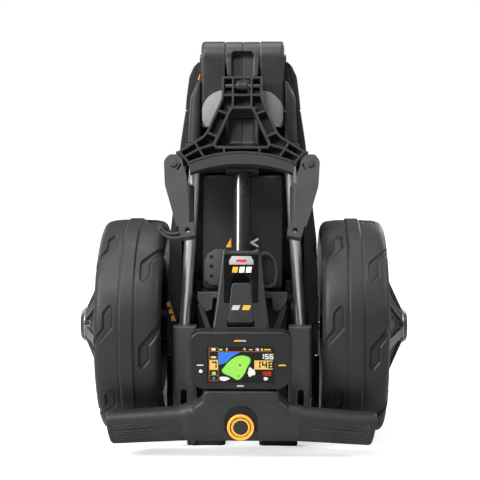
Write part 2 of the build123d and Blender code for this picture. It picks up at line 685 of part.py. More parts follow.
# ---- write every node ---------------------------------------------------------------
save("tub_shell", CHASSIS, tub_shell())
save("tub_top_cap", CHASSIS, tub_top_cap())
save("tub_front_panel", CHASSIS, tub_front_panel())
twins("hinge_cheeks", CHASSIS, hinge_cheek())
twins("hinge_pads", CHASSIS, hinge_pad())
save("main_hinge_pin", CHASSIS, main_hinge_pin())
twins("side_tubes", CHASSIS, side_tube())
twins("tube_sleeves", CHASSIS, tube_sleeve())
twins("stand_feet", CHASSIS, stand_foot())
twins("side_fairings", CHASSIS, side_fairing())
save("cross_bar", CHASSIS, cross_bar())
save("battery_case", CHASSIS, battery_case())
save("battery_cells", CHASSIS, *battery_cells())
save("battery_handle", CHASSIS, battery_handle())
save("battery_tray", CHASSIS, battery_tray())
save("motor_case", CHASSIS, motor_case())
save("gearbox_case", CHASSIS, gearbox_case())
save("gearbox_cover", CHASSIS, gearbox_cover())
save("axle_tubes", CHASSIS, *axle_tubes())
save("drive_cover", CHASSIS, drive_cover())
twins("axle_bearings", CHASSIS, axle_bearing())
save("chassis_base", CHASSIS, chassis_base())
save("front_hinge_pin", CHASSIS, front_hinge_pin())

twins("knuckle_halves", UPPER, knuckle_half())
twins("collar_halves", UPPER, collar_half())
save("centre_tube", UPPER, centre_tube())
save("lever_housing", UPPER, lever_housing())
save("housing_inlay", UPPER, housing_inlay())
save("release_lever", UPPER, release_lever())

save("bag_bracket", UPPER, bag_bracket())
save("bracket_pin", UPPER, rod(3, (-22, 22), *BRACKET_PIN))
save("cradle_pad", UPPER, cradle_pad())
twins("arm_bolts", UPPER, arm_bolt())
pair("bag_arm", UPPER, bag_arm())
save("strap_hook", UPPER, strap_hook())

save("handle_body", HANDLE, handle_body())
pair("grip", HANDLE, grip())
save("display_housing", HANDLE, display_housing())
save("display_screen", HANDLE, display_screen())
save("dial_surround", HANDLE, dial_surround())
save("dial_knob", HANDLE, dial_knob())
save("dial_rings", HANDLE, *dial_rings())
save("dial_button", HANDLE, dial_button())

save("drive_axle", CHASSIS, drive_axle())
save("motor_pinion", CHASSIS, motor_pinion())
pair("rear_tyre", CHASSIS, rear_tyre())
pair("rear_rim", CHASSIS, rear_rim())
pair("wheel_cover", CHASSIS, wheel_cover())
pair("wheel_button", CHASSIS, wheel_button())

save("front_fork", FORK, front_fork())
save("lower_cradle", FORK, lower_cradle(), cradle_liner())
save("front_tyre", FORK, front_tyre())
save("front_rim", FORK, front_rim())
save("front_axle", FORK, front_axle())
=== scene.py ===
"""Looks of a folded electric golf trolley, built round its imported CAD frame. Metres."""
import json
import math

import bmesh
import bpy
import numpy as np
from mathutils import Matrix, Vector


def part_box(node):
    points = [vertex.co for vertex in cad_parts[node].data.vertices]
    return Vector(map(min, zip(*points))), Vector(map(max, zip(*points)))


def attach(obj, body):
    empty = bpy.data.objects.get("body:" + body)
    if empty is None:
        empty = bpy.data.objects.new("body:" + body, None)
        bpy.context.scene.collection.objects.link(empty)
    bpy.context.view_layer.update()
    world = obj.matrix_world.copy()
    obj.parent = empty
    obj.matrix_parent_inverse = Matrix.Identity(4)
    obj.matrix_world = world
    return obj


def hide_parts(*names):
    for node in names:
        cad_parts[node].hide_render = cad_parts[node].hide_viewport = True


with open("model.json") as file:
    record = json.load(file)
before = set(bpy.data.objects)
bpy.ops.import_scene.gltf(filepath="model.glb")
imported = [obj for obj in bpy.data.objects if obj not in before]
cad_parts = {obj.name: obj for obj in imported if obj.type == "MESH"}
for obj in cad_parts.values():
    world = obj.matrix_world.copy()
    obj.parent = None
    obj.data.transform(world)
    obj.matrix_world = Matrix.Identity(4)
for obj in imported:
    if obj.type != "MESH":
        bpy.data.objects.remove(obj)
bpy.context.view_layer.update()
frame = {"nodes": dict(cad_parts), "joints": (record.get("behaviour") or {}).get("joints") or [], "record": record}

MM = 0.001
SCENE = bpy.context.scene
NODES = frame["nodes"]
BODY_OF = {node: body for body, group in frame["record"]["behaviour"]["bodies"].items() for node in group}
JOINTS = {joint["name"]: joint for joint in frame["joints"]}
AXLE = Vector(JOINTS["axle_spin"]["pos_m"])
LEAN, TILT = -15.5, 6.0


def turned_frame(joint, degrees):
    """Frame at a joint's axis, turned about X."""
    place = Matrix.Translation(JOINTS[joint]["pos_m"])
    return place @ Matrix.Rotation(math.radians(degrees), 4, "X")


CHASSIS = Matrix.Translation((0, AXLE.y, 0))
UPPER = turned_frame("main_fold", LEAN)
HANDLE = turned_frame("handle_fold", TILT)


# ---- materials ----------------------------------------------------------------------
class Look:
    """A material under construction: its node tree and its main shader."""

    def __init__(self, name):
        self.material = bpy.data.materials.new(name)
        self.material.use_nodes = True
        self.tree = self.material.node_tree
        self.shader = self.tree.nodes["Principled BSDF"]
        self.place = self.tree.nodes.new("ShaderNodeTexCoord").outputs["Object"]

    def node(self, kind, values=None, **settings):
        made = self.tree.nodes.new(kind)
        for key, value in settings.items():
            setattr(made, key, value)
        for key, value in (values or {}).items():
            made.inputs[key].default_value = value
        return made

    def link(self, output, target):
        self.tree.links.new(output, target)

    def noise(self, scale, detail=3.0, rough=0.5, stretch=(1, 1, 1)):
        """Noise over the object's own coordinates."""
        mapping = self.node("ShaderNodeMapping", {"Scale": stretch})
        self.link(self.place, mapping.inputs["Vector"])
        noise = self.node("ShaderNodeTexNoise", {"Scale": scale, "Detail": detail, "Roughness": rough})
        self.link(mapping.outputs[0], noise.inputs["Vector"])
        return noise.outputs["Fac"]

    def cells(self, scale):
        """Distance from the middle of the nearest cell."""
        cells = self.node("ShaderNodeTexVoronoi", {"Scale": scale})
        self.link(self.place, cells.inputs["Vector"])
        return cells.outputs["Distance"]

    def span(self, value, low, high, start=0.3, end=0.7):
        """A value from start to end, brought to low to high."""
        limits = {"From Min": start, "From Max": end, "To Min": low, "To Max": high}
        ranged = self.node("ShaderNodeMapRange", limits)
        self.link(value, ranged.inputs["Value"])
        return ranged.outputs[0]

    def blend(self, factor, first, second, mode="MIX"):
        """Mix of two colours; each is a colour or another node's output."""
        mix = self.node("ShaderNodeMix", data_type="RGBA", blend_type=mode)
        for value, target in ((factor, mix.inputs[0]), (first, mix.inputs[6]), (second, mix.inputs[7])):
            if isinstance(value, (int, float)):
                target.default_value = value
            elif isinstance(value, tuple):
                target.default_value = (*value, 1.0)
            else:
                self.link(value, target)
        return mix.outputs[2]

    def worn(self):
        """1 on rounded edges, 0 elsewhere: where edges are painted paler, part wear and part painted highlight."""
        return self.node("ShaderNodeAttribute", attribute_name="edge").outputs["Fac"]

    def rim(self, radius):
        """Normal that rounds every edge by a radius, and 1 where it leaves the flat faces."""
        rounding = self.node("ShaderNodeBevel", {"Radius": radius}, samples=6)
        flat = self.node("ShaderNodeNewGeometry").outputs["Normal"]
        dot = self.node("ShaderNodeVectorMath", operation="DOT_PRODUCT")
        self.link(rounding.outputs[0], dot.inputs[0])
        self.link(flat, dot.inputs[1])
        return rounding.outputs[0], self.span(dot.outputs["Value"], 1.0, 0.0, 0.72, 0.97)

    def bump(self, height, depth, strength=1.0, normal=None):
        bump = self.node("ShaderNodeBump", {"Strength": strength, "Distance": depth})
        self.link(height, bump.inputs["Height"])
        if normal:
            self.link(normal, bump.inputs["Normal"])
        self.link(bump.outputs[0], self.shader.inputs["Normal"])

    def set(self, **values):
        for key, value in values.items():
            self.shader.inputs[key.replace("_", " ")].default_value = value


def shade(colour, factor):
    return tuple(channel * factor for channel in colour)


def plastic(name, colour, rough, grain=1300.0, depth=0.00006, vary=0.14, radius=0.0, wear_and_highlight_gain=1.75):
    """Moulded plastic: fine spark-eroded grain, slight blotches, edges painted paler (part wear, part painted
    highlight).
    """
    look = Look(name)
    normal, worn = look.rim(radius) if radius else (None, look.worn())
    blotch = look.span(look.noise(22.0, 5.0, 0.6), 0.0, 1.0)
    base = look.blend(blotch, shade(colour, 1 - vary), shade(colour, 1 + vary))
    grain_value = look.noise(grain, 2.0, 0.6)
    speck = look.span(grain_value, 0.86, 1.1)
    speckled = look.blend(1.0, base, speck, "MULTIPLY")
    # Edges painted paler: part wear, part painted highlight.
    edge = look.blend(worn, speckled, shade(colour, wear_and_highlight_gain))
    look.link(edge, look.shader.inputs["Base Color"])
    rubbed = look.span(look.noise(55.0, 4.0), rough - 0.06, rough + 0.07)
    look.link(rubbed, look.shader.inputs["Roughness"])
    look.bump(grain_value, depth, 0.5, normal)
    look.set(Specular_IOR_Level=0.24)
    return look.material


def rubber(name, colour, rough, dust=0.22, wear_and_highlight_gain=1.5):
    """Rubber: matt, with a fine pitted skin and dusty patches; edges painted paler (part wear, part painted
    highlight); painted shade in moulded cells.
    """
    look = Look(name)
    patch = look.span(look.noise(14.0, 6.0, 0.65), 0.0, 1.0, 0.4, 0.75)
    base = look.blend(patch, colour, shade(colour, 1 + dust))
    pits = look.noise(900.0, 3.0, 0.7)
    pitted = look.blend(1.0, base, look.span(pits, 0.82, 1.12), "MULTIPLY")
    # Edges painted paler: part wear, part painted highlight.
    edge = look.blend(look.worn(), pitted, shade(colour, wear_and_highlight_gain))
    # Moulded cells painted near-black: painted shade in the recesses.
    cell = look.node("ShaderNodeAttribute", attribute_name="cell").outputs["Fac"]
    look.link(look.blend(cell, edge, shade(colour, 0.12)), look.shader.inputs["Base Color"])
    look.link(look.span(look.noise(60.0, 4.0), rough - 0.08, rough + 0.06), look.shader.inputs["Roughness"])
    look.bump(pits, 0.00012, 0.5)
    look.set(Specular_IOR_Level=0.22)
    return look.material


def metal(name, colour, rough, stretch=(1, 1, 1), metallic=1.0, depth=0.00002, coat=0.0, wear_and_highlight_gain=1.35):
    """Metal with fine drawn or turned lines; stretch sets their direction; edges painted paler, part wear and part
    painted highlight.
    """
    look = Look(name)
    lines = look.noise(190.0, 4.0, 0.7, stretch)
    base = look.blend(look.span(lines, 0.0, 1.0), shade(colour, 0.93), shade(colour, 1.07))
    # Edges painted paler: part wear, part painted highlight.
    edge = look.blend(look.worn(), base, shade(colour, wear_and_highlight_gain))
    look.link(edge, look.shader.inputs["Base Color"])
    look.link(look.span(lines, rough - 0.03, rough + 0.04), look.shader.inputs["Roughness"])
    look.bump(lines, depth, 0.4)
    look.set(Metallic=metallic, Coat_Weight=coat, Coat_Roughness=0.12)
    return look.material


def gloss(name, colour, rough=0.12, coat=0.5):
    """Glossy plastic or lacquer with faint wipe marks, and edges painted paler: part wear, part painted highlight.
    """
    look = Look(name)
    wipe = look.noise(35.0, 5.0, 0.6, (1, 1, 4))
    base = look.blend(look.span(wipe, 0.0, 1.0), shade(colour, 0.9), shade(colour, 1.1))
    # Edges painted paler: part wear, part painted highlight.
    look.link(look.blend(look.worn(), base, shade(colour, 1.3)), look.shader.inputs["Base Color"])
    look.link(look.span(wipe, rough, rough + 0.09), look.shader.inputs["Roughness"])
    look.bump(look.noise(600.0, 2.0), 0.00001, 0.2)
    look.set(Coat_Weight=coat, Coat_Roughness=0.06, Specular_IOR_Level=0.18 + 0.4 * coat)
    return look.material


def lit(name, colour, strength):
    """A lit area of the display, very slightly uneven."""
    look = Look(name)
    unevenness = look.span(look.noise(2400.0, 1.0), 0.9, 1.06)
    shown = look.blend(1.0, colour, unevenness, "MULTIPLY")
    look.link(look.blend(0.9, shown, (0, 0, 0)), look.shader.inputs["Base Color"])
    look.link(shown, look.shader.inputs["Emission Color"])
    look.set(Emission_Strength=strength, Roughness=0.35, Specular_IOR_Level=0.1)
    return look.material


def pad_rubber():
    """Grey damping pad, stippled with small round dots."""
    look = Look("pad_rubber")
    dots = look.span(look.cells(620.0), 1.0, 0.0, 0.25, 0.42)
    patch = look.span(look.noise(30.0, 4.0), 0.0, 1.0)
    base = look.blend(patch, (0.135, 0.137, 0.14), (0.19, 0.192, 0.196))
    look.link(look.blend(dots, base, (0.25, 0.253, 0.258)), look.shader.inputs["Base Color"])
    look.link(look.span(dots, 0.62, 0.5, 0.0, 1.0), look.shader.inputs["Roughness"])
    look.bump(dots, 0.00025, 0.6)
    return look.material


def floor_paper():
    """Pale studio paper with the faintest mottling."""
    look = Look("floor_paper")
    tone = look.span(look.noise(6.0, 4.0), 0.0, 1.0)
    look.link(look.blend(tone, (0.5, 0.5, 0.502), (0.53, 0.53, 0.53)), look.shader.inputs["Base Color"])
    look.bump(look.noise(400.0, 3.0), 0.0002, 0.1)
    look.set(Roughness=0.85, Specular_IOR_Level=0.15, Emission_Color=(1, 1, 1, 1))
    reach = look.node("ShaderNodeVectorMath", operation="LENGTH")
    look.link(look.place, reach.inputs[0])
    seen = look.node("ShaderNodeMath", operation="MULTIPLY")
    look.link(look.span(reach.outputs["Value"], 0.66, 1.0, 0.5, 3.2), seen.inputs[0])
    look.link(look.node("ShaderNodeLightPath").outputs["Is Camera Ray"], seen.inputs[1])
    look.link(seen.outputs[0], look.shader.inputs["Emission Strength"])
    return look.material


# The last number of several finishes below sets how much paler their edges are painted: part wear, part painted
# highlight.
CHARCOAL = plastic("charcoal_moulding", (0.024, 0.0243, 0.025), 0.42)
CHARCOAL_SATIN = plastic("charcoal_satin", (0.024, 0.0243, 0.025), 0.34, 1700.0, 0.00003)
# Bracket rib edges painted much paler: part wear, part painted highlight.
BRACKET_GREY = plastic("bracket_moulding", (0.022, 0.0223, 0.023), 0.4, radius=0.0007, wear_and_highlight_gain=2.6)
DARK = plastic("dark_moulding", (0.010, 0.0102, 0.0106), 0.45)
ARM_GREY = plastic("arm_moulding", (0.042, 0.0425, 0.0435), 0.46, 1100.0, 0.00008, radius=0.0009, wear_and_highlight_gain=1.8)
SLEEVE_GREY = plastic("sleeve_moulding", (0.085, 0.086, 0.088), 0.36, 1500.0, 0.00004)
TRAY_GREY = plastic("tray_moulding", (0.062, 0.063, 0.065), 0.44, 1200.0, 0.00005)
LABEL_GREY = plastic("label_grey", (0.30, 0.305, 0.31), 0.4, 1800.0, 0.00002, 0.06)
GUNMETAL = metal("gunmetal_tube", (0.085, 0.086, 0.089), 0.27, (9, 9, 0.35), 0.9, 0.00001, 0.2)
ALUMINIUM = metal("brushed_aluminium", (0.62, 0.63, 0.65), 0.24, (0.4, 12, 12), 1.0)
# Hub edges painted far paler: part wear, part painted highlight.
HUB_METAL = metal("hub_satin_metal", (0.045, 0.046, 0.048), 0.34, (0.5, 9, 9), 0.55, wear_and_highlight_gain=5.0)
SIDE_METAL = metal("side_tube_metal", (0.6, 0.605, 0.615), 0.3, (9, 9, 0.35), 0.9, 0.00001)
RIM_DARK = plastic("rim_moulding", (0.0085, 0.0087, 0.009), 0.5, wear_and_highlight_gain=1.2)
BEZEL = plastic("bezel_moulding", (0.012, 0.0122, 0.0126), 0.36, 1700.0, 0.00003)
# Near-black recess colour: painted shade in pockets, sockets and the dial surround.
PAINTED_SHADE_RECESS = plastic("recess_painted_shade", (0.0075, 0.0077, 0.008), 0.62)
STEEL = metal("zinc_steel", (0.46, 0.46, 0.48), 0.33, (6, 6, 6))
BLACK_STEEL = metal("blackened_steel", (0.07, 0.07, 0.073), 0.38, (6, 6, 6), 0.8)
TYRE = rubber("tyre_rubber", (0.019, 0.0191, 0.0196), 0.5)
GRIP = rubber("grip_rubber", (0.019, 0.0192, 0.0198), 0.5, 0.12, 3.2)
FOOT = rubber("foot_rubber", (0.022, 0.022, 0.0225), 0.6)
PAD = pad_rubber()
YELLOW = gloss("accent_yellow", (0.86, 0.40, 0.045), 0.3, 0.2)
GLOSS_BLACK = gloss("gloss_black", (0.004, 0.004, 0.0045), 0.2, 0.1)
GLASS_BLACK = gloss("screen_black", (0.002, 0.002, 0.0025), 0.16, 0.05)
PRINT_ORANGE = gloss("print_orange", (0.80, 0.35, 0.035), 0.35, 0.1)
PRINT_WHITE = gloss("print_white", (0.78, 0.78, 0.78), 0.35, 0.1)
PRINT_GREY = gloss("print_grey", (0.42, 0.42, 0.43), 0.35, 0.1)
CELL = gloss("cell_sleeve", (0.05, 0.24, 0.16), 0.3, 0.3)


# ---- mesh helpers -------------------------------------------------------------------
def add_object(name, mesh, material, body):
    piece = bpy.data.objects.new(name, mesh)
    SCENE.collection.objects.link(piece)
    mesh.materials.clear()
    mesh.materials.append(material)
    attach(piece, body)
    return piece


def finish_mesh(name, bm, crease=32.0):
    """Mesh from a bmesh, smooth except over edges sharper than crease degrees."""
    for face in bm.faces:
        face.smooth = True
    for edge in bm.edges:
        edge.smooth = edge.is_manifold and edge.calc_face_angle(0.0) < math.radians(crease)
    mesh = bpy.data.meshes.new(name)
    bm.to_mesh(mesh)
    bm.free()
    for attribute in ("custom_normal", "sharp_face"):
        if attribute in mesh.attributes:
            mesh.attributes.remove(mesh.attributes[attribute])
    return mesh


def node_copy(node):
    """The CAD node's shape with its doubled corners joined and its flat faces whole."""
    bm = bmesh.new()
    bm.from_mesh(NODES[node].data)
    bmesh.ops.remove_doubles(bm, verts=bm.verts, dist=0.003 * MM)
    bmesh.ops.dissolve_limit(bm, angle_limit=math.radians(0.8), verts=bm.verts, edges=bm.edges)
    return bm


def softened(node, material, width):
    """Stands for a CAD node: the same shape with its sharp edges rounded by width."""
    bm = node_copy(node)
    limit = math.radians(28.0)
    sharp = [edge for edge in bm.edges if edge.is_manifold and edge.calc_face_angle(0.0) > limit]
    made = bmesh.ops.bevel(bm, geom=sharp, offset=width * MM, offset_type="OFFSET", segments=2,
                           profile=0.5, affect="EDGES", clamp_overlap=False, miter_outer="ARC")
    # Bevel faces mark the edges that are painted paler: part wear, part painted highlight.
    wear_and_highlight_layer = bm.loops.layers.float.new("edge")
    for face in made["faces"]:
        for loop in face.loops:
            loop[wear_and_highlight_layer] = 1.0
    piece = add_object("fine_" + node, finish_mesh("fine_" + node, bm, 40.0), material, BODY_OF[node])
    piece.modifiers.new("even_normals", "WEIGHTED_NORMAL").keep_sharp = True
    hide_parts(node)


def bracket():
    """Bag bracket: the CAD shape, with the pocket floors between its ribs painted near-black as painted shade."""
    node = "bag_bracket"
    bm = bmesh.new()
    bm.from_mesh(NODES[node].data)
    bmesh.ops.remove_doubles(bm, verts=bm.verts, dist=0.003 * MM)
    mesh = finish_mesh("fine_" + node, bm)
    piece = add_object("fine_" + node, mesh, BRACKET_GREY, "bracket")
    back = UPPER.inverted()
    ahead = UPPER.to_3x3() @ Vector((0, -1, 0))
    # Pocket floors take the painted shade.
    piece.data.materials.append(PAINTED_SHADE_RECESS)
    for face in piece.data.polygons:
        local = back @ face.center / MM
        if -30.5 < local.y < -22 and local.z > -150 and face.normal.dot(ahead) > 0.6:
            face.material_index = 1
    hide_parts(node)


def skin(name, rings, material, body, caps=False, loop_u=True):
    """Closed surface through a grid of points: rings[u][v], v running round each ring."""
    count_u, count_v = rings.shape[:2]
    index = np.arange(count_u * count_v).reshape(count_u, count_v)
    following = np.roll(index, -1, 0) if loop_u else index[1:]
    first = index if loop_u else index[:-1]
    quads = np.stack([first, np.roll(first, -1, 1), np.roll(following, -1, 1), following], -1).reshape(-1, 4)
    faces = quads.tolist()
    if caps:
        faces += [index[0][::-1].tolist(), index[-1].tolist()]
    mesh = bpy.data.meshes.new(name)
    mesh.from_pydata((rings.reshape(-1, 3) * MM).tolist(), [], faces)
    bm = bmesh.new()
    bm.from_mesh(mesh)
    bmesh.ops.recalc_face_normals(bm, faces=bm.faces)
    bm.to_mesh(mesh)
    bm.free()
    mesh.polygons.foreach_set("use_smooth", [True] * len(mesh.polygons))
    return add_object(name, mesh, material, body)


def circle(x, z, radius, count):
    """Outline of a round piece."""
    turn = 2 * math.pi / count
    return [(x + radius * math.cos(turn * step), z + radius * math.sin(turn * step)) for step in range(count)]


def thicken(bm, faces, shift):
    """Flat faces pushed out along shift into a closed slab."""
    pushed = bmesh.ops.extrude_face_region(bm, geom=faces)
    moved = [part for part in pushed["geom"] if isinstance(part, bmesh.types.BMVert)]
    bmesh.ops.translate(bm, verts=moved, vec=shift)


def chamfer(bm, edges, width):
    bmesh.ops.bevel(bm, geom=edges, offset=width * MM, segments=2, profile=0.5, affect="EDGES")


def plate(name, place, outline, front, depth, material, body, bevel=0.0):
    """Flat piece from an outline in x and z, its front face at local y; millimetres."""
    bm = bmesh.new()
    corners = [bm.verts.new(place @ (Vector((x, front + depth, z)) * MM)) for x, z in outline]
    thicken(bm, [bm.faces.new(corners)], place.to_3x3() @ Vector((0, -depth * MM, 0)))
    bmesh.ops.recalc_face_normals(bm, faces=bm.faces)
    if bevel:
        normal = place.to_3x3() @ Vector((0, -1, 0))
        rim = [edge for face in bm.faces if face.normal.dot(normal) > 0.9 for edge in face.edges]
        chamfer(bm, rim, bevel)
    return add_object(name, finish_mesh(name, bm), material, body)


def rounded(points, rounds):
    """An open outline with its corners cut again and again, its ends kept."""
    points = np.array(points, float)
    for _ in range(rounds):
        a, b = points[:-1], points[1:]
        cut = np.empty((2 * len(a), 2))
        cut[0::2] = 0.75 * a + 0.25 * b
        cut[1::2] = 0.25 * a + 0.75 * b
        points = np.vstack([points[:1], cut, points[-1:]])
    return points


def spaced(points, step):
    """The same outline with evenly spaced points, and the distance along it."""
    run = np.concatenate([[0], np.cumsum(np.hypot(*np.diff(points, axis=0).T))])
    at = np.linspace(0, run[-1], max(3, int(run[-1] / step)))
    return np.stack([np.interp(at, run, points[:, 0]), np.interp(at, run, points[:, 1])], -1), at


def ramp(value, start, end):
    """Smooth step from 0 at start to 1 at end."""
    t = np.clip((value - start) / (end - start), 0, 1)
    return t * t * (3 - 2 * t)


def polygon_distance(x, y, corners):
    """Signed distance to a closed polygon, negative inside."""
    distance = np.full(x.shape, np.inf)
    inside = np.zeros(x.shape, bool)
    for (ax, ay), (bx, by) in zip(corners, corners[1:] + corners[:1]):
        ex, ey = bx - ax, by - ay
        t = np.clip(((x - ax) * ex + (y - ay) * ey) / (ex * ex + ey * ey), 0, 1)
        distance = np.minimum(distance, np.hypot(x - ax - t * ex, y - ay - t * ey))
        if ay != by:
            inside ^= ((ay > y) != (by > y)) & (x < (bx - ax) * (y - ay) / (by - ay) + ax)
    return np.where(inside, -distance, distance)


# ---- camera, light and floor --------------------------------------------------------
CAMERA_PLACE = (0.039, -1.695, 0.408)
CAMERA_YAW, CAMERA_PITCH = 1.5, -5.0
CAMERA_LENS, CAMERA_SENSOR = 93.75, 36.0
WORLD_LIGHT = 0.13
MIDDLE, UPPER_MIDDLE, FRAME_MIDDLE = (0, 0, 0.26), (0, 0, 0.46), (0, 0, 0.45)
# Name, place, target, size and power in watts.
LIGHTS = (
    ("key", (-2.3, -1.5, 1.7), MIDDLE, (0.7, 1.4), 135),
    ("front", (-0.7, -1.6, 2.6), UPPER_MIDDLE, (0.8, 0.7), 66),
    ("fill", (2.3, -0.35, 1.7), FRAME_MIDDLE, (0.7, 1.0), 44),
    ("top", (-0.2, 0.2, 2.4), MIDDLE, (1.6, 1.2), 34),
    ("back", (1.4, 2.2, 1.4), MIDDLE, (1.2, 1.2), 30),
    ("back_left", (-1.9, 1.8, 1.1), MIDDLE, (1.2, 1.2), 18),
)


def make_camera():
    camera = bpy.data.objects.new("camera", bpy.data.cameras.new("camera"))
    SCENE.collection.objects.link(camera)
    SCENE.camera = camera
    camera.data.sensor_width = CAMERA_SENSOR
    camera.data.lens = CAMERA_LENS
    camera.location = CAMERA_PLACE
    yaw, pitch = math.radians(CAMERA_YAW), math.radians(CAMERA_PITCH)
    ahead = Vector((-math.sin(yaw) * math.cos(pitch), math.cos(yaw) * math.cos(pitch), math.sin(pitch)))
    camera.rotation_euler = ahead.to_track_quat("-Z", "Y").to_euler()


def area_light(name, place, target, size, power):
    data = bpy.data.lights.new(name, "AREA")
    data.shape = "RECTANGLE"
    data.size, data.size_y = size
    data.energy = power
    light = bpy.data.objects.new(name, data)
    SCENE.collection.objects.link(light)
    light.location = place
    light.rotation_euler = (Vector(target) - Vector(place)).to_track_quat("-Z", "Y").to_euler()


def make_world():
    """White to the camera, dimmer as a light, so that forms keep their shading."""
    world = bpy.data.worlds.new("studio")
    SCENE.world = world
    world.use_nodes = True
    tree = world.node_tree
    tree.nodes.clear()
    output = tree.nodes.new("ShaderNodeOutputWorld")
    mix = tree.nodes.new("ShaderNodeMixShader")
    path = tree.nodes.new("ShaderNodeLightPath")
    for slot, strength in ((1, WORLD_LIGHT), (2, 1.0)):
        background = tree.nodes.new("ShaderNodeBackground")
        background.inputs["Color"].default_value = (1, 1, 1, 1)
        background.inputs["Strength"].default_value = strength
        tree.links.new(background.outputs[0], mix.inputs[slot])
    tree.links.new(path.outputs["Is Camera Ray"], mix.inputs[0])
    tree.links.new(mix.outputs[0], output.inputs[0])


def make_floor():
    bm = bmesh.new()
    bmesh.ops.create_grid(bm, x_segments=24, y_segments=24, size=14.0)
    mesh = finish_mesh("studio_floor", bm)
    floor = bpy.data.objects.new("studio_floor", mesh)
    SCENE.collection.objects.link(floor)
    mesh.materials.append(floor_paper())


def make_studio():
    make_camera()
    make_world()
    make_floor()
    for light in LIGHTS:
        area_light(*light)
    SCENE.view_settings.view_transform = "Standard"


# ---- rear tyres ---------------------------------------------------------------------
TREAD_R = 143.0
LUGS = 8
POCKET = [(-21.5, 46.5), (-17.0, 44.5), (-15.5, 41.0), (-15.5, 17.8), (-53.0, -25.5), (-53.0, -10.0),
          (-30.0, 16.5), (-30.0, 36.5)]
POCKET_TURN = 11.0


def tread_height(across, around):
    """Height of the tread over its plain profile: a centre rib and recessed lugs."""
    pitch = 2 * math.pi * TREAD_R / LUGS
    rib = 1.9 * (1 - ramp(np.abs(across), 7.9, 8.8)) - 0.5 * np.exp(-((np.abs(across) - 9.6) / 0.8) ** 2)
    height = rib
    for shape in (POCKET, [(-x, POCKET_TURN - a) for x, a in POCKET]):
        for shift in (-pitch, 0.0, pitch):
            local = (around % pitch) - shift
            gap = polygon_distance(across, local, shape)
            height = height - 2.3 * ramp(-gap, 0.0, 0.8) + 0.4 * np.exp(-((gap - 0.6) / 0.7) ** 2)
            height = height - 0.9 * np.exp(-((gap + 1.5) / 0.7) ** 2)
    return height


def rear_tyre(side):
    """Closed tyre: rounded profile, centre rib, and two rows of angular pockets."""
    node = "rear_tyre_" + side
    low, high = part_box(node)
    middle = (low.x + high.x) / 2 / MM
    half = [(0, 143.1), (12, 143.0), (30, 141.7), (38.5, 139.2), (42.3, 132), (42.4, 118), (40, 104),
            (36, 99)]
    curve = rounded(half, 3)
    whole = np.vstack([np.stack([-curve[::-1, 0], curve[::-1, 1]], -1), curve[1:]])
    outer, run = spaced(whole, 0.8)
    across = run - run[-1] / 2
    kept = (np.abs(across) < 56) | (np.arange(len(across)) % 4 == 0)
    outer, across = outer[kept], across[kept]
    inner = np.array([(33, 98.9), (34, 110), (30, 130), (0, 133), (-30, 130), (-34, 110), (-33, 98.9)], float)
    steps = 600
    angle = np.linspace(0, 2 * math.pi, steps, endpoint=False)
    lift = tread_height(np.tile(across, (steps, 1)), np.tile(angle[:, None] * TREAD_R, (1, len(across))))
    slope = np.gradient(outer, axis=0)
    normal = np.stack([-slope[:, 1], slope[:, 0]], -1)
    normal /= np.linalg.norm(normal, axis=1)[:, None]
    fade = 1 - ramp(np.abs(across), 50, 58)
    section = outer[None] + normal[None] * (lift * fade[None])[..., None]
    section = np.concatenate([section, np.tile(inner[None], (steps, 1, 1))], 1)
    x = section[..., 0] + middle
    radius = section[..., 1]
    y = AXLE.y / MM - radius * np.cos(angle)[:, None]
    z = AXLE.z / MM + radius * np.sin(angle)[:, None]
    tyre = skin("fine_" + node, np.stack([x, y, z], -1), TYRE, BODY_OF[node])
    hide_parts(node)


# ---- front tyre ---------------------------------------------------------------------
def front_tyre():
    node = "front_tyre"
    low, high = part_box(node)
    hub = Vector(JOINTS["front_wheel_spin"]["pos_m"]) / MM
    half = [(0, 95), (13, 93.6), (20, 89.5), (23, 82), (21, 72), (17, 68.6)]
    curve = rounded(half, 3)
    whole = np.vstack([np.stack([-curve[::-1, 0], curve[::-1, 1]], -1), curve[1:]])
    outer, run = spaced(whole, 1.0)
    across = run - run[-1] / 2
    inner = np.array([(12, 68.5), (8, 80), (-8, 80), (-12, 68.5)], float)
    steps = 480
    angle = np.linspace(0, 2 * math.pi, steps, endpoint=False)
    grid_a = np.tile(angle[:, None] * 94, (1, len(across)))
    grid_s = np.tile(across, (steps, 1))
    pitch = 2 * math.pi * 94 / 24
    slant = (grid_a + 0.7 * np.abs(grid_s)) % pitch
    cut = (1 - ramp(np.abs(slant - pitch / 2), 1.6, 2.4)) * ramp(np.abs(grid_s), 6, 7) * (
        1 - ramp(np.abs(grid_s), 25, 28))
    ring = 1 - ramp(np.abs(np.abs(grid_s) - 5.0), 0.7, 1.5)
    lift = -1.6 * np.maximum(cut, ring)
    slope = np.gradient(outer, axis=0)
    normal = np.stack([-slope[:, 1], slope[:, 0]], -1)
    normal /= np.linalg.norm(normal, axis=1)[:, None]
    section = outer[None] + normal[None] * lift[..., None]
    section = np.concatenate([section, np.tile(inner[None], (steps, 1, 1))], 1)
    middle = (low.x + high.x) / 2 / MM
    x = section[..., 0] + middle
    y = hub.y - section[..., 1] * np.cos(angle)[:, None]
    z = hub.z + section[..., 1] * np.sin(angle)[:, None]
    tyre = skin("fine_" + node, np.stack([x, y, z], -1), TYRE, BODY_OF[node])
    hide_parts(node)


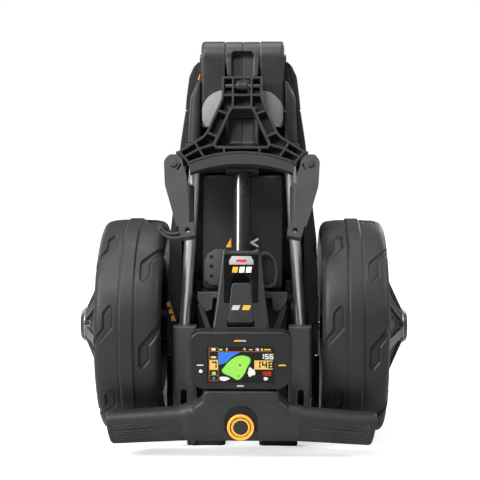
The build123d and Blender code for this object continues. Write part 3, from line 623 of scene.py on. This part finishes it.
# ---- grips and handle ---------------------------------------------------------------
def honeycomb(x, y, pitch):
    """Distance from the nearest cell's wall, for hexagonal cells."""
    row = pitch * math.sqrt(3) / 2
    best = np.full(x.shape, np.inf)
    second = np.full(x.shape, np.inf)
    base = np.round(y / row)
    for step in (-1, 0, 1):
        level = base + step
        offset = (level % 2) * pitch / 2
        near = np.round((x - offset) / pitch)
        for sideways in (-1, 0, 1):
            d = np.hypot(x - offset - (near + sideways) * pitch, y - level * row)
            second = np.where(d < best, best, np.minimum(second, d))
            best = np.minimum(best, d)
    return (second - best) / 2


GRIP_END = 166.4
BAR_Y, BAR_Z = -16.0, -92.6
BAR_DEPTH, BAR_HEIGHT = 17.0, 21.6
CELL_PITCH = 3.4


def grip(side, sign):
    """Rubber sleeve of the T-bar: soft square section, plain above, honeycomb below with painted shade in its
    cells and painted highlight on its walls.
    """
    node = "grip_" + side
    low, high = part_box(node)
    inner_end = min(abs(low.x), abs(high.x)) / MM
    steps = 176
    count = 208
    along = np.linspace(0, 1, steps)
    turn = np.linspace(0, 2 * math.pi, count, endpoint=False)
    x_mid = inner_end + (GRIP_END - inner_end) * along
    z_mid = BAR_Z - 7.0 * along
    half_z = BAR_HEIGHT - 1.6 * along
    half_y = BAR_DEPTH - 2.0 * along
    power = 2 / 2.75
    cos, sin = np.cos(turn), np.sin(turn)
    shape_y = np.sign(cos) * np.abs(cos) ** power
    shape_z = np.sign(sin) * np.abs(sin) ** power
    from_end = GRIP_END - x_mid
    end_round = np.sqrt(np.clip(1 - (1 - np.clip(from_end / 4.5, 0, 1)) ** 2, 0, 1))
    from_start = x_mid - inner_end
    start_round = 1 - 0.012 * (1 - ramp(from_start, 0, 1.0))
    inset = (1 - end_round) * 4.2
    ring_y = (half_y - inset)[:, None] * shape_y[None] * start_round[:, None]
    ring_z = (half_z - inset)[:, None] * shape_z[None] * start_round[:, None]
    around = np.hypot(np.diff(BAR_DEPTH * shape_y), np.diff(BAR_HEIGHT * shape_z))
    girth = np.concatenate([[0], np.cumsum(around)])
    grid_x = np.tile(x_mid[:, None], (1, count))
    grid_g = np.tile(girth[None], (steps, 1))
    wall = honeycomb(grid_x, grid_g, CELL_PITCH)
    level = z_mid[:, None] + ring_z
    below = ramp(-94 + 0.064 * (grid_x - 85) - level, 0, 0.8)
    diagonal = ramp(grid_x - 85 - 0.95 * (level + 94), 0, 0.8)
    area = below * diagonal * (1 - ramp(grid_x, 158.0, 159.0))
    # Cell floors, which are later painted near-black as painted shade.
    cell = area * ramp(wall, 0.25, 0.6)
    dent = 0.1 * area - 0.7 * cell
    upper = ramp(ring_z, 0.0, 18.0)
    ring_z = ring_z + upper * (1.2 * (1 - np.clip(from_start / 12.0, 0, 1)) ** 2)[:, None]
    length = np.hypot(ring_y, ring_z)
    ring_y = ring_y * (1 + dent / length)
    ring_z = ring_z * (1 + dent / length)
    slant = 0.2 * ring_z * ramp(along, 0.55, 1.0)[:, None]
    x = grid_x + slant
    local = np.stack([sign * x, BAR_Y + ring_y, z_mid[:, None] + ring_z], -1)
    matrix = np.array(HANDLE)
    world = local @ matrix[:3, :3].T + matrix[:3, 3] / MM
    piece = skin("fine_" + node, world, GRIP, BODY_OF[node], caps=True, loop_u=False)
    # Cells carry painted shade; the cell walls carry the edge mask and are painted paler as painted highlight.
    for name, values in (("cell", cell), ("edge", area - cell)):
        piece.data.attributes.new(name, "FLOAT", "POINT").data.foreach_set("value", values.ravel().tolist())
    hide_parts(node)


def handle_body():
    """The T-bar's moulding: CAD shape, remeshed finely and relaxed into one flowing skin."""
    node = "handle_body"
    bm = bmesh.new()
    bm.from_mesh(NODES[node].data)
    bmesh.ops.remove_doubles(bm, verts=bm.verts, dist=0.003 * MM)
    piece = add_object("fine_" + node, finish_mesh("fine_" + node, bm), CHARCOAL, BODY_OF[node])
    remesh = piece.modifiers.new("even_mesh", "REMESH")
    remesh.mode = "VOXEL"
    remesh.voxel_size = 1.0 * MM
    remesh.use_smooth_shade = True
    relax = piece.modifiers.new("relax", "SMOOTH")
    relax.factor = 0.5
    relax.iterations = 18
    depsgraph = bpy.context.evaluated_depsgraph_get()
    smooth = bpy.data.meshes.new_from_object(piece.evaluated_get(depsgraph))
    piece.modifiers.clear()
    piece.data = smooth
    count = len(smooth.vertices)
    points = np.empty(count * 3)
    normals = np.empty(count * 3)
    smooth.vertices.foreach_get("co", points)
    smooth.vertices.foreach_get("normal", normals)
    matrix = np.array(HANDLE)
    local = ((points + 0.5 * MM * normals).reshape(-1, 3) - matrix[:3, 3]) @ matrix[:3, :3] / MM
    out = np.abs(local[:, 0])
    local[:, 0] += np.sign(local[:, 0]) * 12 * ramp(out, 59, 66) * (1 - ramp(out, 90, 150))
    slim = 1 - 0.055 * ramp(np.abs(local[:, 0]), 64, 77)
    slim = np.where(local[:, 2] < -66, slim, 1)
    local[:, 1] = BAR_Y + (local[:, 1] - BAR_Y) * slim
    local[:, 2] = -93 + (local[:, 2] + 93) * slim
    knee = np.exp(-((out - 58) / 6.5) ** 2) * ramp(local[:, 2], -82, -71) * (1 - ramp(local[:, 2], -58, -50))
    local[:, 2] += 4.4 * knee
    front = (local[:, 1] < -24) & (out < 49)
    local[:, 1] += 0.7 * front * np.exp(-((local[:, 2] + 60.5) / 0.55) ** 2)
    moved = local * MM @ matrix[:3, :3].T + matrix[:3, 3]
    smooth.vertices.foreach_set("co", moved.ravel())
    smooth.materials.clear()
    smooth.materials.append(CHARCOAL)
    smooth.polygons.foreach_set("use_smooth", [True] * len(smooth.polygons))
    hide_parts(node)


# ---- display ------------------------------------------------------------------------
SEGMENTS = {0: "abcdef", 1: "bc", 2: "abged", 3: "abgcd", 4: "fgbc", 5: "afgcd", 6: "afgedc", 7: "abc",
            8: "abcdefg", 9: "abcdfg"}
LEVELS = {"a": 1.0, "g": 0.5, "d": 0.0}
UPRIGHTS = {"f": (0, 1), "b": (1, 1), "e": (0, 0), "c": (1, 0)}
SCREEN_FACE, BEZEL_FACE = -32.45, -33.12


def screen_piece(name, outlines, material, layer):
    """Flat lit shapes on the display, in the handle's frame, joined in one piece."""
    bm = bmesh.new()
    level = (SCREEN_FACE - 0.05 * layer) * MM
    for outline in outlines:
        corners = [bm.verts.new(HANDLE @ Vector((x * MM, level, z * MM))) for x, z in outline]
        thicken(bm, [bm.faces.new(corners)], HANDLE.to_3x3() @ Vector((0, 0.04 * MM, 0)))
    bmesh.ops.recalc_face_normals(bm, faces=bm.faces)
    return add_object(name, finish_mesh(name, bm), material, "handle")


def box2(x, z, width, height):
    return [(x, z), (x + width, z), (x + width, z + height), (x, z + height)]


def digits(number, x, z, height):
    """Bars that form a number, as on a plain numeric display."""
    bars = []
    half = height / 2
    stroke = height * 0.2
    for place, figure in enumerate(str(number)):
        left = x + place * half * 1.75
        for key in SEGMENTS[int(figure)]:
            if key in LEVELS:
                bars.append(box2(left, z + LEVELS[key] * (height - stroke), half + stroke, stroke))
            else:
                side, row = UPRIGHTS[key]
                bars.append(box2(left + side * half, z + row * half + stroke / 2, stroke, half - stroke / 2))
    return bars


def blob(x, z, rx, rz, seed, rough, count):
    """Soft irregular outline."""
    points = []
    for step in range(count):
        angle = 2 * math.pi * step / count
        reach = 1 + rough * math.sin(3 * angle + seed) + rough * 0.6 * math.sin(5 * angle + 2.3 * seed)
        points.append((x + rx * reach * math.cos(angle), z + rz * reach * math.sin(angle)))
    return points


def display_page():
    """A generic course page: green, water, bunkers, distance boxes and status icons."""
    orange = lit("lcd_orange", (0.75, 0.22, 0.03), 0.8)
    yellow = lit("lcd_yellow", (0.95, 0.62, 0.16), 0.9)
    green = lit("lcd_green", (0.34, 0.84, 0.11), 0.95)
    fringe = lit("lcd_fringe", (0.10, 0.40, 0.05), 0.9)
    blue = lit("lcd_blue", (0.05, 0.22, 0.86), 0.95)
    white = lit("lcd_white", (0.9, 0.9, 0.9), 0.9)
    red = lit("lcd_red", (0.85, 0.05, 0.04), 0.8)
    lines = [box2(-38.6, 4.2, 77.0, 0.45), box2(-38.6, -33.2, 0.45, 42.6), box2(-27.5, -33.2, 0.45, 42.6),
             box2(-38.6, 9.0, 11.4, 0.45), box2(-38.6, -5.8, 11.4, 0.45), box2(-38.6, -33.2, 11.4, 0.45),
             box2(-38.6, -19.4, 11.4, 0.45), box2(-38.6, -26.3, 11.4, 0.45)]
    screen_piece("page_lines", lines, orange, 1)
    water = [(-26.6, 3.6), (0.0, 3.6), (-6.5, 0.2), (-12.0, -3.6), (-16.5, -9.0), (-21.5, -11.5),
             (-26.6, -12.2)]
    screen_piece("page_water", [water], blue, 1)
    corners = [(-22.5, -19), (-15, -9), (-6, -2), (3, -0.6), (11.5, -3.4), (11.8, -9), (7, -17), (4.6, -24),
               (-1, -31), (-5, -32), (-12, -27), (-19, -24.6), (-22.5, -21.5), (-22.5, -19)]
    course, _ = spaced(rounded(corners, 2), 1.15)
    scallop = [(x + 0.4 * (i % 2), z + 0.4 * (i % 2)) for i, (x, z) in enumerate(course[:-1])]
    screen_piece("page_rough", [[(x * 1.055 + 0.3, z * 1.035 + 0.5) for x, z in scallop]], fringe, 1.6)
    screen_piece("page_green", [scallop], green, 2)
    bunkers = [blob(13.2, -21.8, 4.6, 5.4, 2.0, 0.16, 24), blob(-20.0, -30.2, 6.2, 2.7, 1.0, 0.1, 24)]
    screen_piece("page_bunkers", bunkers, white, 2)
    target = [blob(-0.6, -12.8, 1.3, 1.3, 0, 0, 14), blob(0.8, 0.8, 0.9, 0.9, 0, 0, 10),
              blob(-2.2, -26.5, 0.9, 0.9, 0, 0, 10)]
    screen_piece("page_target", target, GLASS_BLACK, 4)
    screen_piece("page_aim", [box2(-0.85, -25.5, 0.5, 24.0), box2(-6.5, -13.0, 11.5, 0.45)], yellow, 3)
    screen_piece("page_boxes", [box2(-37.9, -18.7, 10.2, 12.2), box2(17.0, -18.2, 22.6, 11.4)], yellow, 2)
    screen_piece("page_hole", digits(7, -35.2, -17.1, 8.8) + digits(148, 18.4, -17.0, 9.0), GLASS_BLACK, 3)
    figures = digits(156, 24.0, -5.2, 6.6) + digits(4, 3.8, 5.4, 3.4) + digits(18, 17.0, 5.4, 3.4)
    screen_piece("page_far", figures, white, 2)
    screen_piece("page_near", digits(139, 24.6, -26.0, 5.2), red, 2)
    icons = [box2(-35.6, 5.6, 5.2, 2.8), blob(-33.0, -2.9, 3.6, 1.3, 0, 0, 12),
             blob(31, -30, 2.8, 2.2, 1.2, 0.1, 14), box2(10.4, 6.4, 4.6, 0.9)]
    screen_piece("page_icons", icons, white, 2)
    leaf = [box2(-35.0, -25.2, 4.6, 3.8), blob(-24.0, 6.8, 2.4, 1.2, 0.3, 0.1, 12),
            box2(-34.8, -3.6, 3.6, 1.4)]
    screen_piece("page_leaf", leaf, green, 3)
    screen_piece("page_drop", [blob(-32.8, -29.8, 1.6, 2.1, 0, 0, 12)], blue, 3)
    marks = [box2(-17.6, 5.5, 1.8, 3.4), blob(26.2, 7.0, 1.5, 1.5, 0, 0, 12), box2(29.0, 6.2, 8.0, 1.6)]
    screen_piece("page_marks", marks, yellow, 2)


def display_marks():
    """Small printed marks on the display's bezel."""
    plate("mark_menu", HANDLE, box2(-53.5, -13.4, 8.2, 0.9), BEZEL_FACE, 0.14, PRINT_WHITE, "handle")
    plate("mark_home", HANDLE, circle(-48.8, -20.6, 2.2, 16), BEZEL_FACE, 0.14, PRINT_WHITE, "handle")
    for place, (x, z, width) in enumerate(((46.0, -13.6, 10.0), (-8.2, 17.2, 15.6), (-5.0, -40.2, 9.6))):
        bar = [(x, z), (x + width, z), (x + width - 1.2, z + 1.9), (x + 1.4, z + 1.9)]
        half = [(px if px < x + width / 2 else x + width / 2, pz) for px, pz in bar]
        tone = PRINT_GREY if place else PRINT_ORANGE
        plate(f"mark_bar_{place}", HANDLE, bar, BEZEL_FACE, 0.14, tone, "handle")
        if place == 1:
            plate("mark_accent", HANDLE, half, BEZEL_FACE - 0.04, 0.14, PRINT_ORANGE, "handle")


# ---- printed marks ------------------------------------------------------------------
TUB_FACE = -46.0
COLUMN_FACE, COLUMN_INSIDE = -63.9, 54.7
STRUT_FACE = -61.12
HOUSING_FACE = -18.6


def front_columns():
    """Rounded columns beside the hinge cheeks, and the panel they stand on."""
    node = "tub_front_panel"
    levels = np.array([392.3, 394, 400, 410, 420, 430, 440, 448, 454, 460, 465, 469, 471.2], float)
    reach = np.interp(levels, [392, 450, 456, 471.2], [71.4, 68.1, 65.6, 57.2])
    pieces = []
    for sign in (-1, 1):
        rings = []
        for z, outer in zip(levels, reach):
            corner = min(9.5, (outer - COLUMN_INSIDE) * 0.62)
            turn = np.linspace(0, math.pi / 2, 12)
            sweep = outer - corner + corner * np.sin(turn)
            x = np.concatenate([[COLUMN_INSIDE, COLUMN_INSIDE], sweep, [outer]])
            root = [TUB_FACE - 0.3]
            y = np.concatenate([root, [COLUMN_FACE], COLUMN_FACE + corner - corner * np.cos(turn), root])
            rings.append(np.stack([sign * x, y + AXLE.y / MM, np.full(len(x), z)], -1))
        name = "column_left" if sign < 0 else "column_right"
        pieces.append(skin(name, np.array(rings), CHARCOAL, "chassis", True, False))
    half = [(60, 410), (65, 396), (71, 353)]
    whole = half + [(-x, z) for x, z in reversed(half)]
    panel = plate("column_panel", CHASSIS, whole, -42.5, 3.0, DARK, "chassis", 0.5)
    for piece in pieces + [panel]:
        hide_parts(node)


def skirts():
    """Dark plates that close the chassis between the drive cover and the tyres, and stand in for the shade in the
    gaps there.
    """
    half = [(55, 36), (101.2, 36), (101.2, 110.5), (63.8, 110.5), (63.8, 212), (55, 212)]
    for side, sign in (("left", -1), ("right", 1)):
        shape = [(sign * x, z) for x, z in half][::sign]
        # Dark plates standing in for shade between the parts.
        plate("gap_shade_plate_" + side, CHASSIS, shape, -45.5, 2.5, DARK, "chassis", 0.5)


def hoop(name, outer, inner, front, depth, material, body):
    """Flat ring between two outlines with the same number of points; millimetres."""
    bm = bmesh.new()
    rings = [[bm.verts.new(CHASSIS @ (Vector((x, front + depth, z)) * MM)) for x, z in line]
             for line in (outer, inner)]
    count = len(outer)
    faces = [bm.faces.new((rings[0][i], rings[0][(i + 1) % count], rings[1][(i + 1) % count], rings[1][i]))
             for i in range(count)]
    thicken(bm, faces, CHASSIS.to_3x3() @ Vector((0, -depth * MM, 0)))
    bmesh.ops.recalc_face_normals(bm, faces=bm.faces)
    chamfer(bm, [edge for edge in bm.edges if edge.calc_face_angle(0) > 1.2], 0.8)
    return add_object(name, finish_mesh(name, bm), material, body)


def battery_grips():
    """The battery's catch plate with three round sockets drawn as near-black discs of painted shade, and its thin
    lifting loop.
    """
    shape = [(-49, 216), (-49, 240), (-45, 249), (-36, 254.5), (-20, 254.5), (-20, 208), (-42, 208)]
    catch = plate("catch_plate", CHASSIS, shape, -70, 5.0, TRAY_GREY, "chassis", 0.9)
    for place, z in enumerate((245.0, 232.5, 220.0)):
        socket = circle(-40.5, z, 2.5, 24)
        # Dark discs of painted shade stand for the sockets.
        plate(f"catch_socket_{place}", CHASSIS, socket, -70.3, 0.5, PAINTED_SHADE_RECESS, "chassis", 0.2)
    middle = np.array([(32.5, 228.5)])
    corners = np.array([(20, 204), (40, 204), (45.5, 211), (45.5, 236), (37, 251), (20, 253)], float)
    line = rounded(np.vstack([corners, corners[:1]]), 3)[:-1]
    inside = middle + (line - middle) * (0.74, 0.82)
    hoop("battery_loop", line, inside, -70, 5.0, TRAY_GREY, "chassis")
    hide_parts("battery_handle")


def printed_marks():
    """Plain generic graphics where the real object carries its badges."""
    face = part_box("battery_case")[0].y / MM - AXLE.y / MM
    wedge = [(-21.8, 256.8), (-15.0, 269.2), (-15.0, 256.8)]
    plate("battery_flash", CHASSIS, wedge, face - 0.12, 0.14, PRINT_ORANGE, "chassis")
    chevron = [(20.4, 269.4), (10.6, 264.2), (10.6, 261.6), (20.4, 256.4), (20.4, 259.4), (14.4, 262.9),
               (20.4, 266.4)]
    plate("battery_chevron", CHASSIS, chevron, face - 0.12, 0.14, PRINT_WHITE, "chassis")
    for place, (x, z) in enumerate(((-98.6, 184.0), (-95.9, 175.0), (-93.2, 166.0))):
        bar = [(x - 0.6, z - 6.4), (x - 1.2, z - 0.6), (x + 3.0, z + 1.4), (x + 5.4, z - 6.4)]
        plate(f"strut_bar_{place}", CHASSIS, bar, STRUT_FACE, 0.14, PRINT_ORANGE, "chassis")
    flash = [(-59.0, 473.6), (-56.6, 480.4), (-55.4, 480.4), (-57.4, 473.6)]
    plate("tub_flash", CHASSIS, flash, TUB_FACE - 0.3, 0.5, PRINT_ORANGE, "chassis")
    strip = [(-15.2, -273.6), (15.2, -273.6), (15.2, -268.5), (11.8, -262.8), (-11.8, -262.8),
             (-15.2, -268.5)]
    plate("label_strip", UPPER, strip, HOUSING_FACE - 0.15, 0.35, LABEL_GREY, "upper_frame", bevel=0.12)
    red = gloss("print_red", (0.5, 0.03, 0.03))
    plate("label_bar", UPPER, box2(-6.4, -270.4, 12.8, 3.2), HOUSING_FACE - 0.35, 0.2, red, "upper_frame")
    for x, tone in ((-11.6, PRINT_ORANGE), (-3.0, PRINT_WHITE), (5.6, PRINT_WHITE)):
        bar = [(x, -283.6), (x + 6.4, -283.6), (x + 7.6, -276.4), (x + 1.2, -276.4)]
        plate(f"badge_bar_{int(x + 12)}", UPPER, bar, HOUSING_FACE + 0.05, 0.15, tone, "upper_frame")
    for x, tone in ((-12.0, PRINT_GREY), (1.2, PRINT_ORANGE)):
        bar = [(x, -330.6), (x + 8.8, -330.6), (x + 11.2, -324.8), (x + 1.8, -324.8)]
        plate(f"lever_bar_{int(x + 12)}", UPPER, bar, HOUSING_FACE - 0.12, 0.14, tone, "lever")


# ---- nodes that keep or soften their CAD shape --------------------------------------
SOFTENED = (
    (CHARCOAL, "charcoal_plastic", 1.1, ("tub_shell", "tub_top_cap", "knuckle_halves", "collar_halves")),
    (CHARCOAL, "charcoal_plastic", 1.6, ("hinge_cheeks",)),
    (CHARCOAL_SATIN, "charcoal_plastic", 0.5, ("lever_housing",)),
    (CHARCOAL, "charcoal_plastic", 0.7, ("battery_case", "release_lever", "front_fork")),
    (FOOT, "foot_rubber", 0.45, ("cradle_pad",)),
    (ARM_GREY, "charcoal_plastic", 0.6, ("strap_hook",)),
    (TRAY_GREY, "grey_plastic", 0.6, ("battery_tray",)),
    (SLEEVE_GREY, "grey_plastic", 1.2, ("tube_sleeves",)),
    (DARK, "dark_plastic", 0.5, ("side_fairings", "drive_cover", "motor_case", "gearbox_case",
                                 "gearbox_cover", "chassis_base", "lower_cradle")),
    (HUB_METAL, "bright_aluminium", 0.5, ("wheel_cover_left", "wheel_cover_right")),
    (RIM_DARK, "grey_plastic", 0.6, ("rear_rim_left", "rear_rim_right", "front_rim")),
    (BLACK_STEEL, "steel", 0.3, ("arm_bolts", "main_hinge_pin", "front_hinge_pin")),
    (CHARCOAL, "charcoal_plastic", 0.3, ("dial_button", "dial_knob")),
    (ALUMINIUM, "bright_aluminium", 0.3, ("wheel_button_left", "wheel_button_right")),
    (FOOT, "foot_rubber", 0.8, ("stand_feet",)),
)
KEPT = (
    (GUNMETAL, ("centre_tube", "axle_tubes", "cross_bar")),
    (SIDE_METAL, ("side_tubes",)),
    (PAD, ("hinge_pads",)),
    (GLOSS_BLACK, ("housing_inlay",)),
    # Dial surround in the near-black of painted shade.
    (PAINTED_SHADE_RECESS, ("dial_surround",)),
    (GLASS_BLACK, ("display_screen",)),
    (BEZEL, ("display_housing",)),
    (YELLOW, ("dial_rings",)),
    (ARM_GREY, ("bag_arm_left", "bag_arm_right")),
    (CELL, ("battery_cells",)),
    (STEEL, ("drive_axle", "motor_pinion", "axle_bearings", "front_axle")),
    (BLACK_STEEL, ("bracket_pin",)),
)


def dress_nodes():
    for material, slot, width, names in SOFTENED:
        for name in names:
            softened(name, material, width)
    for material, names in KEPT:
        for name in names:
            for slot in NODES[name].material_slots:
                slot.material = material


make_studio()
dress_nodes()
rear_tyre("left")
rear_tyre("right")
front_tyre()
front_columns()
skirts()
battery_grips()
bracket()
grip("left", -1)
grip("right", 1)
handle_body()
display_page()
display_marks()
printed_marks()
